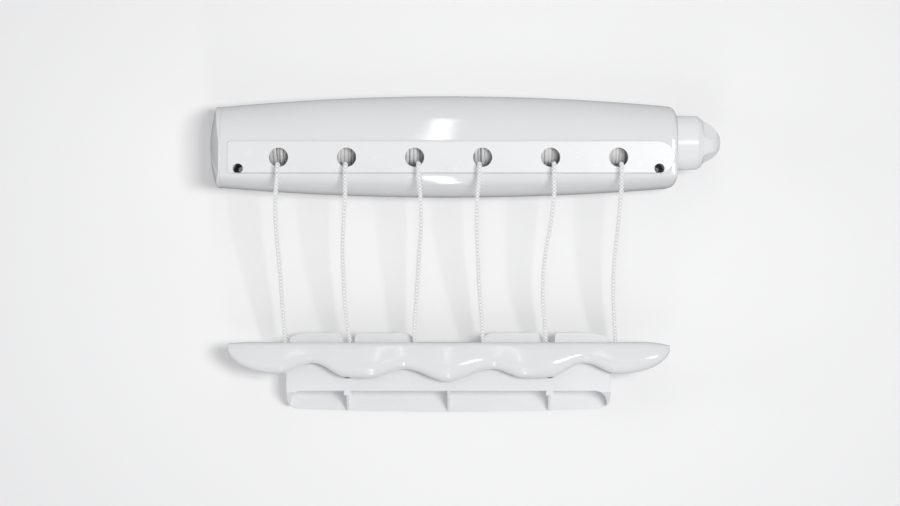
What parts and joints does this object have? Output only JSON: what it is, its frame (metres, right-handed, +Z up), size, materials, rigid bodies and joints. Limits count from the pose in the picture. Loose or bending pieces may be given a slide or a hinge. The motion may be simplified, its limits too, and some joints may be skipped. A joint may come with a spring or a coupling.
{
  "type": "wall mounted retractable clothesline",
  "caption": "Barrel-shaped wall reel with a row of cords running down to a wavy catch bar in front of a wall bracket, wound by an end knob.",
  "frame": {"origin": "middle of the reel housing's back, on the wall", "axes": "+X along the housing towards the knob, +Y into the wall, +Z up"},
  "size_m": [0.48, 0.0878, 0.2987],
  "materials": {
    "housing_plastic": "glossy white moulded plastic",
    "face_plastic": "glossy white moulded plastic",
    "knob_plastic": "glossy white moulded plastic",
    "bar_plastic": "glossy white moulded plastic",
    "bracket_plastic": "satin white moulded plastic",
    "reel_plastic": "matte pale grey moulded plastic",
    "bush_nylon": "matte natural nylon",
    "cord_braid": "braided white cord",
    "steel": "plated steel",
    "brake_rubber": "matte black rubber"
  },
  "bodies": {
    "housing": {"back_shell": "housing_plastic", "front_cover": "housing_plastic", "face_plate": "face_plastic", "left_end_cap": "housing_plastic", "right_end_cap": "housing_plastic", "left_bush": "bush_nylon", "right_bush": "bush_nylon", "brake_pad": "brake_rubber", "cover_screw_upper_left": "steel", "cover_screw_upper_right": "steel", "cover_screw_lower_left": "steel", "cover_screw_lower_right": "steel", "wall_bracket": "bracket_plastic", "cord_lead_1": "cord_braid", "cord_lead_2": "cord_braid", "cord_lead_3": "cord_braid", "cord_lead_4": "cord_braid", "cord_lead_5": "cord_braid", "cord_lead_6": "cord_braid"},
    "reel": {"reel_drum": "reel_plastic", "reel_shaft": "steel", "knob_screw": "steel", "cord_winding_1": "cord_braid", "cord_winding_2": "cord_braid", "cord_winding_3": "cord_braid", "cord_winding_4": "cord_braid", "cord_winding_5": "cord_braid", "cord_winding_6": "cord_braid"},
    "knob": {"winding_knob": "knob_plastic", "knob_cap": "knob_plastic", "knob_spring": "steel"},
    "lines": {"cord_1": "cord_braid", "cord_2": "cord_braid", "cord_3": "cord_braid", "cord_4": "cord_braid", "cord_5": "cord_braid", "cord_6": "cord_braid"},
    "bar": {"bar_front": "bar_plastic", "bar_back": "bar_plastic", "bar_screw_1": "steel", "bar_screw_2": "steel", "bar_screw_3": "steel", "cord_knot_1": "cord_braid", "cord_knot_2": "cord_braid", "cord_knot_3": "cord_braid", "cord_knot_4": "cord_braid", "cord_knot_5": "cord_braid", "cord_knot_6": "cord_braid"}
  },
  "joints": [
    {"name": "line_swing", "type": "hinge", "parent": "housing", "child": "lines", "pos_m": [0, -0.0845, -0.0178], "axis": [-1, 0, 0], "range_deg": [0, 90]},
    {"name": "bar_pull", "type": "slide", "parent": "lines", "child": "bar", "axis": [0, 0, -1], "range_m": [-0.1, 3.4], "deforming": ["cord_1", "cord_2", "cord_3", "cord_4", "cord_5", "cord_6"]},
    {"name": "reel_spin", "type": "hinge", "parent": "housing", "child": "reel", "pos_m": [0, -0.038, 0.0051], "axis": [1, 0, 0], "range_deg": [-7500, 300]},
    {"name": "knob_pull", "type": "slide", "parent": "reel", "child": "knob", "axis": [1, 0, 0], "range_m": [0, 0.005], "stiffness_N_per_m": 1500, "springref_m": -0.004, "deforming": ["knob_spring"]}
  ],
  "couplings": [
    {"joint": "reel_spin", "follows": "bar_pull", "rad_per_m": -38}
  ]
}
